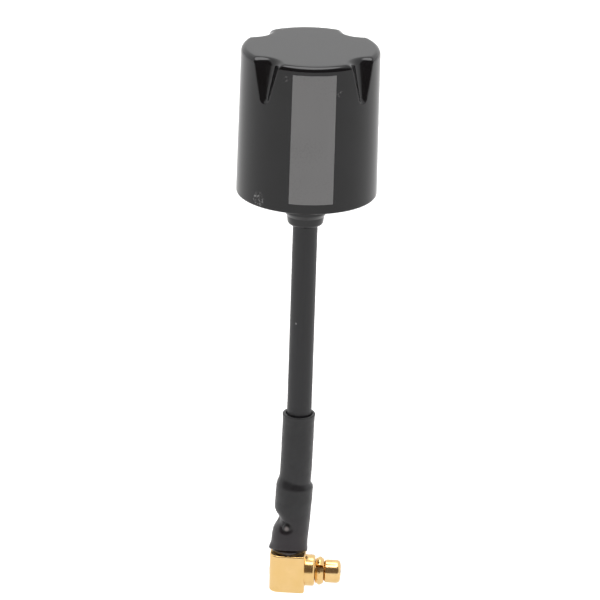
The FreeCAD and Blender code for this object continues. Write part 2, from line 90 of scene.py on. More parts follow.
# Radii that the marks are placed at, on the sleeve and on the stem
SLEEVE_R = 2.0
JACKET_R = 1.36

# Scuffs on the cap's wall, as (angle in degrees about the stem, height, reach, tone)
SCUFFED_R = 7.66
SCUFFS = (
    (230.5, 45.75, 1.0, "#7c7c7c"),
    (253.4, 59.95, 0.5, "#4a4a4a"),
    (298.8, 58.35, 0.45, "#4a4a4a"),
)


# Geometry helpers

def cable_x(height):
    """Where the cable's axis lies at a height."""
    bend_top = NECK_TOP + FOOT_BEND_R * math.sin(LEAN)
    lean_top = bend_top + LEAN_RUN * math.cos(LEAN)
    stem_foot = lean_top + HEAD_BEND_R * math.sin(LEAN)
    if height <= NECK_TOP:
        return PLUG_X
    if height <= bend_top:
        return PLUG_X + FOOT_BEND_R - math.sqrt(FOOT_BEND_R ** 2 - (height - NECK_TOP) ** 2)
    if height <= lean_top:
        return PLUG_X + FOOT_BEND_R * (1 - math.cos(LEAN)) + (height - bend_top) * math.tan(LEAN)
    if height <= stem_foot:
        return STEM_X - HEAD_BEND_R + math.sqrt(HEAD_BEND_R ** 2 - (stem_foot - height) ** 2)
    return STEM_X


def ease(value, low, high):
    """0 below low, 1 above high, and a smooth step between them."""
    share = min(1.0, max(0.0, (value - low) / (high - low)))
    return share * share * (3 - 2 * share)


def softened(corners, steps=6):
    """Outline through corners given as (across, along, rounding), each rounding drawn as an arc."""
    points = []
    for index, (across, along, rounding) in enumerate(corners):
        here = Vector((across, along, 0))
        if not rounding:
            points.append((across, along))
            continue
        before = (Vector((*corners[index - 1][:2], 0)) - here).normalized()
        after = (Vector((*corners[(index + 1) % len(corners)][:2], 0)) - here).normalized()
        half = before.angle(after) / 2
        centre = here + (before + after).normalized() * (rounding / math.sin(half))
        start = (here + before * (rounding / math.tan(half)) - centre).normalized()
        end = (here + after * (rounding / math.tan(half)) - centre).normalized()
        for step in range(steps + 1):
            point = centre + start.slerp(end, step / steps) * rounding
            points.append((point.x, point.y))
    return points


def finely(outline, spacing, low, high):
    """Outline with extra points on its runs, where they lie between two distances along it."""
    points = [outline[0]]
    for start, end in zip(outline, outline[1:]):
        length = math.dist(start, end)
        inside = max(start[1], end[1]) > low and min(start[1], end[1]) < high
        count = max(1, round(length / spacing)) if inside else 1
        for step in range(1, count + 1):
            share = step / count
            points.append(tuple(a + (b - a) * share for a, b in zip(start, end)))
    return points


def turned(outline, closed, steps, angle=math.tau, level=False):
    """Skin turned about the upright axis, or about the plug's axis, from (radius, distance along it)."""
    bm = bmesh.new()
    if level:
        verts = [bm.verts.new((along, 0, radius)) for radius, along in outline]
    else:
        verts = [bm.verts.new((radius, 0, along)) for radius, along in outline]
    chain = list(zip(verts, verts[1:]))
    if closed:
        chain.append((verts[-1], verts[0]))
    edges = [bm.edges.new(pair) for pair in chain]
    full = angle == math.tau
    axis = (1, 0, 0) if level else (0, 0, 1)
    bmesh.ops.spin(bm, geom=verts + edges, cent=(0, 0, 0), axis=axis, angle=angle, steps=steps,
                   use_merge=full)
    bmesh.ops.remove_doubles(bm, verts=bm.verts, dist=1e-5)
    if not full:
        rims = [edge for edge in bm.edges if edge.is_boundary]
        bmesh.ops.holes_fill(bm, edges=rims, sides=0)
    bmesh.ops.recalc_face_normals(bm, faces=bm.faces)
    return bm


def piece(name, bm, material, nodes, sharp=40):
    """Finishes a mesh in metres as a piece that stands for these CAD nodes."""
    bmesh.ops.scale(bm, vec=(MM, MM, MM), verts=bm.verts)
    mesh = bpy.data.meshes.new(name)
    bm.to_mesh(mesh)
    bm.free()
    mesh.materials.append(material)
    mesh.shade_smooth()
    mesh.set_sharp_from_angle(angle=math.radians(sharp))
    obj = bpy.data.objects.new(name, mesh)
    bpy.context.collection.objects.link(obj)
    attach(obj, "root")
    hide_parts(*nodes)


# Material helpers

def linear(hex_colour):
    """Linear colour of an sRGB hex value."""
    channels = []
    for start in (1, 3, 5):
        value = int(hex_colour[start:start + 2], 16) / 255
        channels.append(value / 12.92 if value <= 0.04045 else ((value + 0.055) / 1.055) ** 2.4)
    return (*channels, 1.0)


def add(tree, kind, settings=None, links=None):
    """Adds a node, sets its values and sockets, and links its inputs to outputs given for them."""
    node = tree.nodes.new(kind)
    for key, value in (settings or {}).items():
        if isinstance(key, str) and hasattr(node, key):
            setattr(node, key, value)
        else:
            node.inputs[key].default_value = value
    for key, output in (links or {}).items():
        tree.links.new(output, node.inputs[key])
    return node


def new_material(name, shader):
    """Material with a principled shader with these socket values, and its Object coordinates."""
    material = bpy.data.materials.new(name)
    material.use_nodes = True
    tree = material.node_tree
    tree.nodes.clear()
    surface = add(tree, "ShaderNodeBsdfPrincipled", shader)
    add(tree, "ShaderNodeOutputMaterial", links={"Surface": surface.outputs[0]})
    place = add(tree, "ShaderNodeTexCoord").outputs["Object"]
    return material, tree, surface, place


def per_mm(features):
    """Noise scale, on coordinates in metres, for this many features a millimetre."""
    return features / MM


def spread(tree, factor, low, high, from_low=0.3, from_high=0.7):
    """Value that runs from low to high with a pattern."""
    node = add(tree, "ShaderNodeMapRange",
               {"From Min": from_low, "From Max": from_high, "To Min": low, "To Max": high},
               {"Value": factor})
    return node.outputs[0]


def two_tone(tree, factor, dark, light, low=0.35, high=0.65):
    """Colour that runs from one tone to the other with a pattern."""
    node = add(tree, "ShaderNodeValToRGB", links={"Fac": factor})
    node.color_ramp.elements[0].position = low
    node.color_ramp.elements[0].color = linear(dark)
    node.color_ramp.elements[1].position = high
    node.color_ramp.elements[1].color = linear(light)
    return node.outputs["Color"]


def relief(tree, surface, height, strength, distance):
    """Bump from a pattern; distance is in millimetres."""
    bump = add(tree, "ShaderNodeBump", {"Strength": strength, "Distance": distance * MM},
               {"Height": height})
    tree.links.new(bump.outputs[0], surface.inputs["Normal"])


def pattern(tree, place, scale, detail=3.0, roughness=0.5, stretch=(1, 1, 1)):
    """Noise pattern, stretched along an axis if asked."""
    where = add(tree, "ShaderNodeMapping", {"Scale": stretch}, {"Vector": place})
    node = add(tree, "ShaderNodeTexNoise", {"Scale": scale, "Detail": detail, "Roughness": roughness},
               {"Vector": where.outputs[0]})
    return node.outputs[0]


def smooth_rise(tree, value, start, end, top=1.0):
    """Pattern that is 0 up to the start of a value's range and rises smoothly to the top at its end."""
    node = add(tree, "ShaderNodeMapRange",
               {"interpolation_type": "SMOOTHSTEP", "From Min": start, "From Max": end, "To Max": top},
               {"Value": value})
    return node.outputs[0]


def near(tree, place, point, inner, outer):
    """Pattern that is 1 within an inner distance of a point on a piece and 0 beyond an outer one, in mm."""
    away = add(tree, "ShaderNodeVectorMath",
               {"operation": "DISTANCE", 1: [value * MM for value in point]}, {0: place})
    return smooth_rise(tree, away.outputs["Value"], outer * MM, inner * MM)


def times(tree, first, second):
    """Product of two patterns."""
    return add(tree, "ShaderNodeMath", {"operation": "MULTIPLY"}, {0: first, 1: second}).outputs[0]


def tinted(tree, colour, tint, factor):
    """Colour that gives way to a tint where a pattern says so."""
    node = add(tree, "ShaderNodeMix", {"data_type": "RGBA", 7: linear(tint)}, {0: factor, 6: colour})
    return node.outputs[2]


def on_skin(axis_x, radius, angle, height):
    """Point at an angle in degrees and a height on a round skin."""
    turn = math.radians(angle)
    return axis_x + radius * math.cos(turn), radius * math.sin(turn), height


# Finishes

def moulded_gloss_black():
    """Polycarbonate from a polished mould: nearly black, clear gloss, hairlines, and a few scuffs."""
    material, tree, surface, place = new_material("moulded gloss black", {"IOR": 1.46, "Roughness": 0.1})
    clouds = pattern(tree, place, per_mm(0.25), 2.0)
    colour = two_tone(tree, clouds, "#0b0b0c", "#101012")
    curls = two_tone(tree, pattern(tree, place, per_mm(3.2), 4.0, 0.7), "#000000", "#ffffff", 0.52, 0.6)
    for angle, height, reach, tone in SCUFFS:
        scuffed = near(tree, place, on_skin(STEM_X, SCUFFED_R, angle, height), reach * 0.5, reach)
        colour = tinted(tree, colour, tone, times(tree, curls, scuffed))
    tree.links.new(colour, surface.inputs["Base Color"])
    hairlines = pattern(tree, place, per_mm(2.2), 5.0, 0.62, (1, 1, 0.25))
    tree.links.new(spread(tree, hairlines, 0.06, 0.16), surface.inputs["Roughness"])
    relief(tree, surface, pattern(tree, place, per_mm(0.45), 2.0), 0.12, 0.02)
    return material


def turned_gloss_black():
    """Black plastic with a turned sheen: fine rings round its axis."""
    material, tree, surface, place = new_material("turned gloss black", {"IOR": 1.5, "Roughness": 0.16})
    clouds = pattern(tree, place, per_mm(0.6), 2.0)
    tree.links.new(two_tone(tree, clouds, "#0c0c0d", "#121214"), surface.inputs["Base Color"])
    rings = pattern(tree, place, per_mm(3.0), 2.0, 0.5, (0.1, 0.1, 3.0))
    tree.links.new(spread(tree, rings, 0.1, 0.22), surface.inputs["Roughness"])
    relief(tree, surface, rings, 0.06, 0.02)
    return material


def grey_label_film():
    """Blank grey vinyl film: even, with a fine grain and a soft sheen."""
    material, tree, surface, place = new_material("grey label film", {"IOR": 1.46, "Roughness": 0.5})
    grain = pattern(tree, place, per_mm(5.0), 4.0, 0.6)
    clouds = pattern(tree, place, per_mm(0.12), 2.0)
    both = add(tree, "ShaderNodeMath", {"operation": "ADD"}, {0: grain, 1: clouds}).outputs[0]
    colour = two_tone(tree, both, "#6c6c6c", "#727272", 0.8, 1.2)
    tree.links.new(colour, surface.inputs["Base Color"])
    tree.links.new(spread(tree, grain, 0.44, 0.58), surface.inputs["Roughness"])
    relief(tree, surface, grain, 0.1, 0.02)
    return material


def extruded_jacket():
    """Black fluoropolymer cable jacket: extruded, satin, with drawn lines along it and one light speck."""
    material, tree, surface, place = new_material("extruded black jacket", {"IOR": 1.5, "Roughness": 0.4})
    drawn = pattern(tree, place, per_mm(2.5), 4.0, 0.6, (1, 1, 0.06))
    speck = near(tree, place, on_skin(STEM_X, JACKET_R, 243.2, 29.84), 0.06, 0.16)
    colour = tinted(tree, two_tone(tree, drawn, "#17171a", "#1f1f21"), "#6e6e70", speck)
    tree.links.new(colour, surface.inputs["Base Color"])
    tree.links.new(spread(tree, drawn, 0.34, 0.5), surface.inputs["Roughness"])
    relief(tree, surface, drawn, 0.12, 0.02)
    return material


def shrunk_sleeve():
    """Black polyolefin shrunk by hot air: satin, slight orange peel, browner near its foot, with painted
    shade over a crater, a painted highlight on the crater's floor and painted shade in a pinhole."""
    material, tree, surface, place = new_material("black shrink sleeve", {"IOR": 1.5, "Roughness": 0.36})
    patches = pattern(tree, place, per_mm(0.5), 4.0, 0.6)
    colour = two_tone(tree, patches, "#151517", "#1e1e20")
    height = add(tree, "ShaderNodeSeparateXYZ", links={0: place}).outputs["Z"]
    low_down = add(tree, "ShaderNodeMapRange", {"From Min": 8 * MM, "From Max": 4 * MM, "To Max": 0.8},
                   {"Value": height}).outputs[0]
    colour = tinted(tree, colour, "#231c21", low_down)
    # Painted shade over the crater and its ring groove
    crater = on_skin(cable_x(CRATER[1]) + 0.1, SLEEVE_R, *CRATER)
    colour = tinted(tree, colour, "#060506", near(tree, place, crater, 0.45, 1.0))
    # Painted highlight on the crater's floor
    crater_highlight = on_skin(cable_x(CRATER_HIGHLIGHT[1]) + 0.1, SLEEVE_R, *CRATER_HIGHLIGHT)
    colour = tinted(tree, colour, "#716a69", near(tree, place, crater_highlight, 0.1, 0.42))
    # Painted shade of a pinhole, which has no hole in the mesh
    pinhole = on_skin(cable_x(PINHOLE_SHADE[1]) + 0.06, SLEEVE_R + 0.05, *PINHOLE_SHADE)
    colour = tinted(tree, colour, "#050505", near(tree, place, pinhole, 0.05, 0.13))
    tree.links.new(colour, surface.inputs["Base Color"])
    peel = pattern(tree, place, per_mm(1.6), 4.0, 0.6)
    tree.links.new(spread(tree, peel, 0.28, 0.46), surface.inputs["Roughness"])
    relief(tree, surface, peel, 0.25, 0.04)
    return material


def set_adhesive():
    """Hot-melt adhesive run out and set: dark, wet-looking, uneven."""
    material, tree, surface, place = new_material("set black adhesive", {"IOR": 1.5, "Roughness": 0.12})
    runs = pattern(tree, place, per_mm(0.9), 3.0)
    tree.links.new(two_tone(tree, runs, "#14100e", "#2a211c"), surface.inputs["Base Color"])
    tree.links.new(spread(tree, runs, 0.06, 0.2), surface.inputs["Roughness"])
    relief(tree, surface, runs, 0.3, 0.08)
    return material


def gold_plating():
    """Gold plated over turned and milled brass: warm mirror, faint tool marks and duller patches."""
    material, tree, surface, place = new_material("gold plating", {"Metallic": 1.0, "Roughness": 0.2})
    patches = pattern(tree, place, per_mm(0.5), 3.0)
    tree.links.new(two_tone(tree, patches, "#ebc481", "#f0cb8e"), surface.inputs["Base Color"])
    marks = pattern(tree, place, per_mm(6.0), 4.0, 0.6)
    tree.links.new(spread(tree, marks, 0.16, 0.28), surface.inputs["Roughness"])
    relief(tree, surface, marks, 0.05, 0.01)
    return material


def white_fluoropolymer():
    """Machined white PTFE: waxy, with light passing a little way in."""
    material, tree, surface, place = new_material(
        "white fluoropolymer",
        {"IOR": 1.35, "Roughness": 0.45, "Subsurface Weight": 0.2, "Subsurface Scale": 0.4 * MM})
    rings = pattern(tree, place, per_mm(4.0), 3.0)
    tree.links.new(two_tone(tree, rings, "#e9e8e2", "#f3f2ee"), surface.inputs["Base Color"])
    relief(tree, surface, rings, 0.1, 0.02)
    return material


def woven_tinned_braid():
    """Tinned copper braid soaked with solder: grey metal with the crossing of its strands."""
    material, tree, surface, place = new_material("tinned braid", {"Metallic": 1.0, "Roughness": 0.35})
    strands = add(tree, "ShaderNodeTexWave", {"Scale": per_mm(0.6), "Distortion": 1.5, "Detail": 2.0,
                                              "bands_direction": "DIAGONAL"}, {"Vector": place})
    colour = two_tone(tree, strands.outputs["Fac"], "#9f9d98", "#cfccc5", 0.2, 0.8)
    tree.links.new(colour, surface.inputs["Base Color"])
    relief(tree, surface, strands.outputs["Fac"], 0.5, 0.05)
    return material


def plain_metal(name, dark, light, rough_low, rough_high, features):
    """Bright metal with a fine grain."""
    material, tree, surface, place = new_material(name, {"Metallic": 1.0, "Roughness": rough_low})
    grain = pattern(tree, place, per_mm(features), 3.0)
    tree.links.new(two_tone(tree, grain, dark, light), surface.inputs["Base Color"])
    tree.links.new(spread(tree, grain, rough_low, rough_high), surface.inputs["Roughness"])
    relief(tree, surface, grain, 0.1, 0.02)
    return material


def glass_laminate():
    """Green solder mask over woven glass laminate."""
    material, tree, surface, place = new_material("glass laminate", {"IOR": 1.55, "Roughness": 0.3})
    weave = pattern(tree, place, per_mm(2.0), 2.0)
    tree.links.new(two_tone(tree, weave, "#0f3524", "#17452f"), surface.inputs["Base Color"])
    relief(tree, surface, weave, 0.1, 0.03)
    return material


GLOSS_BLACK = moulded_gloss_black()
TURNED_BLACK = turned_gloss_black()
LABEL_GREY = grey_label_film()
JACKET_BLACK = extruded_jacket()
SLEEVE_BLACK = shrunk_sleeve()
ADHESIVE = set_adhesive()
GOLD = gold_plating()
FLUOROPOLYMER = white_fluoropolymer()
BRAID = woven_tinned_braid()
SILVER = plain_metal("silver plated copper", "#d8d2c6", "#ece7dc", 0.2, 0.32, 3.0)
SOLDER = plain_metal("bright solder", "#b9b9b9", "#d6d6d6", 0.25, 0.45, 1.5)
BRASS = plain_metal("crimped brass", "#c9a55c", "#ddbb72", 0.25, 0.4, 3.0)
COPPER = plain_metal("plated copper track", "#d9a866", "#ebc084", 0.22, 0.36, 2.0)
LAMINATE = glass_laminate()


# Head

CAP_MOUTH_R = 7.68
CAP_TOP_R = 7.53
CAP_RIM_R = 0.6
CAP_WALL = 0.9
CAP_ROOF = 1.6
SEAT_STEP = 0.51
SEAT_DEPTH = 1.5
FLUTES = 4
FLUTE_WIDTH = 3.5
FLUTE_DEPTH = 1.1
FLUTE_LENGTH = 4.1
FLUTE_TIP_R = 0.75
FLUTE_TIP_DEPTH = 0.35
FLUTE_EDGE = 0.35

LABEL_ARC = 36.1
LABEL_OFF_MIDDLE = -1.1
LABEL_THICKNESS = 0.06


def cap_radius(height):
    """Radius of the cap's drafted wall."""
    share = (height - CAP_MOUTH) / (CAP_TOP - CAP_MOUTH)
    return CAP_MOUTH_R + (CAP_TOP_R - CAP_MOUTH_R) * share


def flute_radius(height, off_middle, inset):
    """How far out a flute's scooped wall is, at an angle off its middle, or None beside or below it."""
    tip = CAP_TOP - FLUTE_LENGTH
    half_width = FLUTE_WIDTH / 2
    sag = FLUTE_DEPTH - CAP_TOP_R + math.sqrt(CAP_TOP_R ** 2 - half_width ** 2)
    scoop_r = (half_width ** 2 + sag ** 2) / (2 * sag)
    tip_out = cap_radius(tip) + FLUTE_TIP_R - FLUTE_TIP_DEPTH
    lean = (tip_out - FLUTE_TIP_R - CAP_TOP_R + FLUTE_DEPTH) / FLUTE_LENGTH
    share = max(0.0, height - tip) / FLUTE_LENGTH
    centre = tip_out + (CAP_TOP_R + scoop_r - FLUTE_DEPTH - tip_out) * share
    radius = FLUTE_TIP_R + (scoop_r - FLUTE_TIP_R) * share
    if height < tip:
        below = tip - height + FLUTE_TIP_R * lean
        ball_r = FLUTE_TIP_R * math.hypot(1, lean)
        if below >= ball_r:
            return None
        radius = math.sqrt(ball_r ** 2 - below ** 2)
    radius += inset
    aside = centre * math.sin(off_middle)
    if abs(aside) >= radius:
        return None
    return centre * math.cos(off_middle) - math.sqrt(radius ** 2 - aside ** 2)


def smaller(first, second, blend):
    """The smaller of two lengths, with the change from one to the other rounded off."""
    closeness = max(blend - abs(first - second), 0.0) / blend
    return min(first, second) - closeness * closeness * blend / 4


def fluted(height, angle, inset):
    """Radius of the fluted cap at a height and an angle, drawn in by an inset."""
    flute_step = math.tau / FLUTES
    off_middle = (angle - HEAD_TURN) % flute_step - flute_step / 2
    plain = cap_radius(height) - inset
    scooped = flute_radius(height, off_middle, inset)
    return plain if scooped is None else smaller(plain, scooped, FLUTE_EDGE + 0.7 * inset)


def cap_shell():
    """Moulded cap: turned, then each flute pressed into its wall, with the rounded rim led along it."""
    flat_start = 3.0
    flat_end = CAP_TOP_R - CAP_RIM_R
    top_rings = [(radius, CAP_TOP, 0) for radius in (0, flat_start, 4.4, 5.6, 6.3)]
    outside = softened(top_rings + [
        (CAP_TOP_R, CAP_TOP, CAP_RIM_R),
        (CAP_MOUTH_R, CAP_MOUTH, 0.2),
        (CAP_MOUTH_R - SEAT_STEP, CAP_MOUTH, 0.1),
        (CAP_MOUTH_R - SEAT_STEP, CAP_MOUTH + SEAT_DEPTH, 0),
    ], 12)
    inside = softened([
        (CAP_MOUTH_R - CAP_WALL, CAP_MOUTH + SEAT_DEPTH, 0),
        (CAP_TOP_R - CAP_WALL, CAP_TOP - 6.2, 0.2),
        (CAP_TOP_R - 2.0, CAP_TOP - CAP_ROOF, 0.4),
        (0, CAP_TOP - CAP_ROOF, 0),
    ])
    flute_low = CAP_TOP - FLUTE_LENGTH - FLUTE_TIP_R
    bm = turned(finely(outside, 0.12, flute_low - 0.1, CAP_TOP - 0.1) + inside, False, 576)
    for vert in bm.verts:
        height = vert.co.z
        radius = math.hypot(vert.co.x, vert.co.y)
        inner_wall = radius < cap_radius(height) - 0.8 and height < CAP_TOP - 0.1
        if height < flute_low or radius < flat_start or inner_wall:
            continue
        angle = math.atan2(vert.co.y, vert.co.x)
        if radius < flat_end:
            edge = fluted(CAP_TOP, angle, CAP_RIM_R)
            share = 1 + (edge / flat_end - 1) * (radius - flat_start) / (flat_end - flat_start)
        else:
            share = fluted(height, angle, cap_radius(height) - radius) / radius
        vert.co.x *= share
        vert.co.y *= share
    bmesh.ops.translate(bm, vec=(STEM_X, 0, 0), verts=bm.verts)
    piece("cap_shell", bm, GLOSS_BLACK, ["radome_cap"], 60)


def label_film():
    """Thin blank film that follows the cap's wall."""
    low = CAP_MOUTH + 1.11
    high = CAP_TOP - 0.91
    outline = [
        (cap_radius(low) + 0.002, low),
        (cap_radius(low) + LABEL_THICKNESS, low + 0.02),
        (cap_radius(high) + LABEL_THICKNESS, high - 0.02),
        (cap_radius(high) + 0.002, high),
    ]
    arc = math.radians(LABEL_ARC)
    start = HEAD_TURN + math.radians(LABEL_OFF_MIDDLE - 90) - arc / 2
    bm = turned(outline, True, 60, arc)
    bmesh.ops.rotate(bm, cent=(0, 0, 0), matrix=Matrix.Rotation(start, 3, "Z"), verts=bm.verts)
    bmesh.ops.translate(bm, vec=(STEM_X, 0, 0), verts=bm.verts)
    piece("label_film", bm, LABEL_GREY, ["label"])


def cap_base():
    """Turned disc with its stepped hub and rounded collar."""
    bore_r = JACKET_R + 0.01
    disc_r = CAP_MOUTH_R - SEAT_STEP - 0.03
    base_underside = CAP_MOUTH + 0.25
    base_top = base_underside + 1.25
    post_top = base_top + 2.4
    outline = softened([
        (bore_r, COLLAR_END, 0.05),
        (bore_r + 0.56, COLLAR_END, 0.42),
        (bore_r + 0.7, HUB_END - 0.5, 0.3),
        (bore_r + 1.05, HUB_END, 0.3),
        (bore_r + 1.05, base_underside, 0.12),
        (disc_r, base_underside, 0.08),
        (disc_r, base_top, 0.08),
        (bore_r + 1.0, base_top, 0.1),
        (bore_r + 1.0, post_top, 0.1),
        (bore_r, post_top, 0),
    ])
    bm = turned(outline, True, 128)
    bmesh.ops.translate(bm, vec=(STEM_X, 0, 0), verts=bm.verts)
    piece("cap_base", bm, TURNED_BLACK, ["radome_base"])


# Cable and sleeve

def stem_jacket():
    """Jacket of the rigid cable, from under the sleeve to the lower board."""
    braid_r = 1.1
    corners = [(JACKET_R, JACKET_FOOT), (JACKET_R, JACKET_HEAD), (braid_r, JACKET_HEAD),
               (braid_r, JACKET_FOOT)]
    bm = turned(finely(corners, 0.6, JACKET_FOOT, JACKET_HEAD), True, 96)
    for vert in bm.verts:
        vert.co.x += cable_x(vert.co.z)
        wander = noise.noise(Vector((0.3, 0.1, vert.co.z * 0.11)))
        vert.co.x += 0.012 * wander
    piece("stem_jacket", bm, JACKET_BLACK, ["coax_jacket"])


# Sleeve, as (height, value): its radius below and above the shoulder, and how far its skin is off the cable's
# axis, towards the barrel
SLEEVE_LOWER = [(2.93, 2.04), (3.15, 2.06), (3.7, 2.03), (7.0, 2.04), (8.2, 2.06), (12.0, 2.05)]
SLEEVE_UPPER = [(9.0, 1.76), (17.7, 1.76), (18.4, 1.79), (18.88, 1.82)]
SLEEVE_ASIDE = [(2.93, 0.08), (5.0, 0.11), (8.4, 0.08), (9.8, 0.03), (11.3, -0.03), (15.6, -0.07),
                (18.9, -0.03)]
SLEEVE_STEPS = 220
SHOULDER = 10.42
WIDE_BORE_R = 1.63
NARROW_BORE_R = 1.38


def along(table, height):
    """Smooth reading of a table of (height, value)."""
    for (low, first), (high, second) in zip(table, table[1:]):
        if height <= high:
            return first + (second - first) * ease(height, low, high)
    return table[-1][1]


def sleeve_radius(height, angle):
    """Outside of the sleeve: its shoulder is long on the left and short on the right."""
    leftness = (0.5 + 0.5 * math.cos(math.radians(angle - SHOULDER_SIDE))) ** 2
    middle = SHOULDER + 0.45 * leftness
    reach = 0.3 + 0.42 * leftness
    above = ease(height, middle - reach, middle + reach)
    return along(SLEEVE_LOWER, height) * (1 - above) + along(SLEEVE_UPPER, height) * above


def way_off(angle, height, mark):
    """Distance over the sleeve's skin from a mark, around and along."""
    around = (angle - mark[0] + 180) % 360 - 180
    return math.radians(around) * SLEEVE_R, height - mark[1]


def sleeve():
    """Heat-shrink sleeve: turned, then bent, dented and creased."""
    heights = [SLEEVE_FOOT + (SLEEVE_TOP - SLEEVE_FOOT) * step / SLEEVE_STEPS
               for step in range(SLEEVE_STEPS + 1)]
    outside = [(sleeve_radius(height, OUTLINE_SIDE), height) for height in heights]
    outside[0] = (outside[0][0] - 0.08, heights[0])
    outside[-1] = (outside[-1][0] - 0.12, heights[-1])
    outside.insert(1, (outside[0][0] + 0.06, heights[0] + 0.03))
    outside.insert(-1, (outside[-1][0] + 0.09, heights[-1] - 0.03))
    inside = [(WIDE_BORE_R if height < 10.5 else NARROW_BORE_R, height) for height in heights[::-4]]
    inside[0] = (1.5, heights[-1])
    bm = turned(outside + inside, True, 192)
    for vert in bm.verts:
        height = vert.co.z
        radius = math.hypot(vert.co.x, vert.co.y)
        angle = math.degrees(math.atan2(vert.co.y, vert.co.x)) % 360
        outer = ease(radius, WIDE_BORE_R + 0.03, WIDE_BORE_R + 0.07)
        grown = sleeve_radius(height, angle) - sleeve_radius(height, OUTLINE_SIDE)
        around, up = way_off(angle, height, DENT)
        dip = 0.75 * math.exp(-(around / 1.8) ** 2 - (up / 0.8) ** 2)
        skin_dip = 0.025 * noise.noise(Vector((vert.co.x * 0.8, vert.co.y * 0.8, height * 0.5)))
        around, up = way_off(angle, height, CRATER)
        ring = math.hypot(around / 1.3, up)
        skin_dip += 0.12 * math.exp(-((ring - 0.5) / 0.2) ** 2)
        around, up = way_off(angle, height, LIP_BULGE)
        skin_dip -= 0.2 * math.exp(-(around / 0.6) ** 2 - (up / 0.35) ** 2)
        inward = outer * (grown - dip - skin_dip) - (1 - outer) * max(0.0, dip - 0.3)
        share = 1 + inward / radius
        frontness = max(0.0, math.cos(math.radians(angle - VIEWED_FROM)))
        rightness = max(0.0, math.cos(math.radians(angle - BARREL_SIDE))) ** 2
        sag = 0.46 - 0.54 * frontness + 0.2 * rightness
        vert.co.z -= sag * (1 - ease(height, SLEEVE_FOOT, SLEEVE_FOOT + 1.2))
        vert.co.x = vert.co.x * share + cable_x(height) + along(SLEEVE_ASIDE, height) * outer
        vert.co.y = vert.co.y * share
    piece("heat_shrink_sleeve", bm, SLEEVE_BLACK, ["heat_shrink"], 50)


def foot_bead():
    """Adhesive squeezed out between the sleeve and the block, uneven round its edge."""
    neck_r = 1.635
    bead_foot = BLOCK_TOP + 0.005
    outline = softened([
        (neck_r, bead_foot, 0),
        (1.72, bead_foot, 0.04),
        (1.88, BLOCK_TOP + 0.3, 0.25),
        (1.95, SLEEVE_FOOT - 0.2, 0.1),
        (1.8, SLEEVE_FOOT, 0.06),
        (neck_r, SLEEVE_FOOT, 0),
    ], 8)
    bm = turned(outline, True, 160)
    for vert in bm.verts:
        radius = math.hypot(vert.co.x, vert.co.y)
        swell = noise.noise(Vector((vert.co.x * 0.9, vert.co.y * 0.9, vert.co.z * 0.8 + 3.1)))
        share = 1 + 0.05 * swell * ease(radius, 1.65, 1.9)
        vert.co.x *= share * (1 + 0.06 * ease(radius, 1.65, 1.7))
        vert.co.y *= share
    bmesh.ops.translate(bm, vec=(PLUG_X + 0.08, 0, 0), verts=bm.verts)
    piece("foot_bead", bm, ADHESIVE, ["adhesive_bead"])


# Plug

BORE_R = 0.82
RING_MIDDLE_R = 1.5


def plug_block():
    """Milled block: wide round upright edges at its back, crisp ones at its front, softened level edges."""
    depth = 3.75
    bm = bmesh.new()
    middle = (BLOCK_BACK + BLOCK_FRONT) / 2
    size = Matrix.Diagonal((BLOCK_FRONT - BLOCK_BACK, depth, BLOCK_TOP - BLOCK_LOW, 1))
    place = Matrix.Translation((middle, 0, (BLOCK_TOP + BLOCK_LOW) / 2)) @ size
    bmesh.ops.create_cube(bm, size=1.0, matrix=place)
    for corner_r, side in ((1.15, -1), (0.35, 1)):
        upright = [edge for edge in bm.edges if abs(edge.verts[0].co.z - edge.verts[1].co.z) > 1
                   and (edge.verts[0].co.x - middle) * side > 0]
        bmesh.ops.bevel(bm, geom=upright, offset=corner_r, segments=16, profile=0.5, affect="EDGES",
                        material=-1)
    level = [edge for edge in bm.edges if abs(edge.verts[0].co.z - edge.verts[1].co.z) < 1e-4]
    bmesh.ops.bevel(bm, geom=level, offset=0.15, segments=4, profile=0.5, affect="EDGES", material=-1)
    bmesh.ops.recalc_face_normals(bm, faces=bm.faces)
    piece("plug_block", bm, GOLD, ["plug_body"], 30)


def access_cover():
    """Disc pressed into the back of the block."""
    proud = BLOCK_BACK - 0.03
    seat = BLOCK_BACK + 0.2
    outline = softened([
        (0, proud, 0),
        (0.78, proud, 0.04),
        (0.8, seat, 0),
        (0, seat, 0),
    ])
    bm = turned(outline, False, 64, level=True)
    piece("access_cover", bm, GOLD, ["plug_cover"])


def plug_front():
    """Flange, ring groove and hollow barrel, turned in one piece."""
    spigot_r = 1.25
    spigot_end = BLOCK_FRONT - 0.7
    flange_r = 1.775
    flange_back = BLOCK_FRONT - 0.13
    flange_chamfer = 0.18
    groove_r = 1.05
    barrel_r = 1.3
    root_chamfer = 0.16
    outline = softened([
        (BORE_R, spigot_end, 0),
        (spigot_r, spigot_end, 0),
        (spigot_r, flange_back, 0),
        (flange_r, flange_back, 0.02),
        (flange_r, FLANGE_FRONT - flange_chamfer, 0.06),
        (flange_r - flange_chamfer, FLANGE_FRONT, 0.03),
        (groove_r, FLANGE_FRONT, 0.05),
        (groove_r, BARREL_ROOT, 0.05),
        (barrel_r - root_chamfer, BARREL_ROOT, 0.02),
        (barrel_r, BARREL_ROOT + root_chamfer, 0.06),
        (barrel_r, BARREL_MOUTH, 0.45),
        (BORE_R, BARREL_MOUTH, 0.05),
    ], 8)
    bm = turned(outline, True, 128, level=True)
    piece("plug_front", bm, GOLD, ["plug_barrel"])


